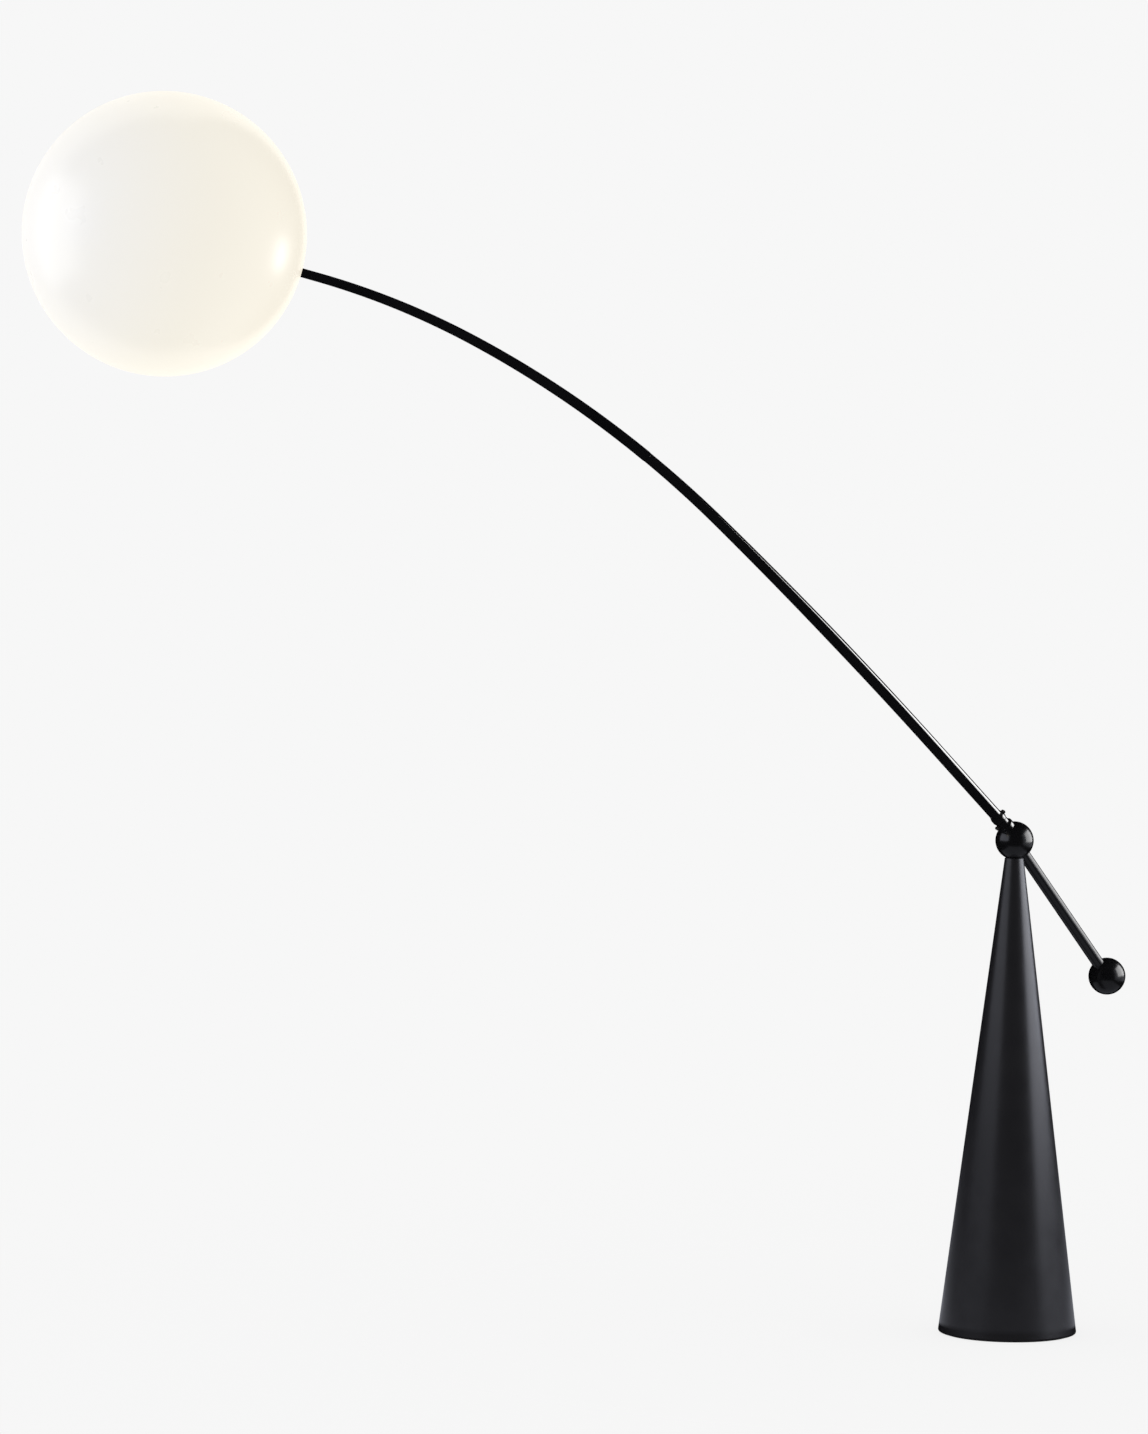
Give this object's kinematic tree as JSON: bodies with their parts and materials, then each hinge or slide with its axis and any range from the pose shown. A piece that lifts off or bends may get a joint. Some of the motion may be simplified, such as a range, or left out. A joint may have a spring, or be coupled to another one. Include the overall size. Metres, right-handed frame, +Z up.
{
  "type": "arc floor lamp",
  "caption": "Floor lamp with a weighted cone base, a ball pivot, a curved tapering arm with an opal globe, and a short rod with a counterweight ball.",
  "frame": {"origin": "on the floor under the middle of the round base", "axes": "+Z up; the arm and the globe lean to -X in the plane y = 0, the counterweight hangs to +X, and the cord inlet is at +Y"},
  "size_m": [1.8216, 0.36, 1.6957],
  "materials": {
    "black_lacquer": "gloss",
    "black_satin": "satin",
    "blackened_brass": "satin",
    "zinc_steel": "satin",
    "cast_iron": "matte",
    "black_rubber": "matte",
    "white_nylon": "satin",
    "brass": "satin",
    "lead_sheath": "satin",
    "opal_acrylic": "gloss",
    "bulb_opal": "satin"
  },
  "bodies": {
    "base": {"floor_pad": "black_rubber", "base_plate": "zinc_steel", "ballast": "cast_iron", "ballast_screws": "zinc_steel", "base_cone": "black_satin", "cord_grommet": "black_rubber", "terminal_block": "white_nylon", "terminal_screws": "brass", "base_lead": "lead_sheath", "ball_seat": "black_satin", "guide_bush": "zinc_steel", "stop_pin": "zinc_steel"},
    "swivel": {"swivel_stem": "zinc_steel", "thrust_washer": "white_nylon", "disc_springs": "zinc_steel", "flat_washer": "zinc_steel", "swivel_nut": "zinc_steel", "stop_tab": "zinc_steel", "jam_nut": "zinc_steel", "stem_lead": "lead_sheath"},
    "head": {"pivot_ball": "black_lacquer", "pivot_pins": "zinc_steel", "pin_plug": "black_lacquer", "socket_boss": "black_lacquer", "spigot_tube": "zinc_steel", "rod_stud": "zinc_steel", "counterweight_rod": "black_lacquer", "counterweight_stud": "zinc_steel", "counterweight_ball": "black_lacquer"},
    "lower_screw": {"lower_thumbscrew": "blackened_brass"},
    "arm": {"arm_ferrule": "black_lacquer", "lower_arm_tube": "black_lacquer", "lower_coupler": "zinc_steel", "middle_arm_tube": "black_lacquer", "upper_coupler": "zinc_steel", "upper_arm_tube": "black_lacquer", "arm_lead": "lead_sheath", "threaded_nipple": "brass", "globe_cap": "opal_acrylic", "globe_ring": "opal_acrylic", "globe": "opal_acrylic", "cap_nut": "brass", "cap_washer": "zinc_steel", "lamp_holder": "white_nylon", "holder_contact": "brass", "bulb_cap": "zinc_steel", "bulb": "bulb_opal"},
    "upper_screw": {"upper_thumbscrew": "blackened_brass"}
  },
  "joints": [
    {"name": "pan", "type": "hinge", "parent": "base", "child": "swivel", "pos_m": [0, 0, 0.668], "axis": [0, 0, 1], "range_deg": [-160, 160]},
    {"name": "tilt", "type": "hinge", "parent": "swivel", "child": "head", "pos_m": [0, 0, 0.69804], "axis": [0, 1, 0], "range_deg": [-15, 0]},
    {"name": "arm_turn", "type": "hinge", "parent": "head", "child": "arm", "pos_m": [-0.03781, 0, 0.73688], "axis": [-0.757, 0, 0.6534], "range_deg": [-20, 20]},
    {"name": "lower_thumbscrew_turn", "type": "hinge", "parent": "head", "child": "lower_screw", "pos_m": [-0.03152, 0, 0.71693], "axis": [-0.6534, 0, -0.757], "range_deg": [0, 720]},
    {"name": "upper_thumbscrew_turn", "type": "hinge", "parent": "arm", "child": "upper_screw", "pos_m": [-0.02275, 0, 0.73841], "axis": [0.6534, 0, 0.757], "range_deg": [0, 720]}
  ]
}
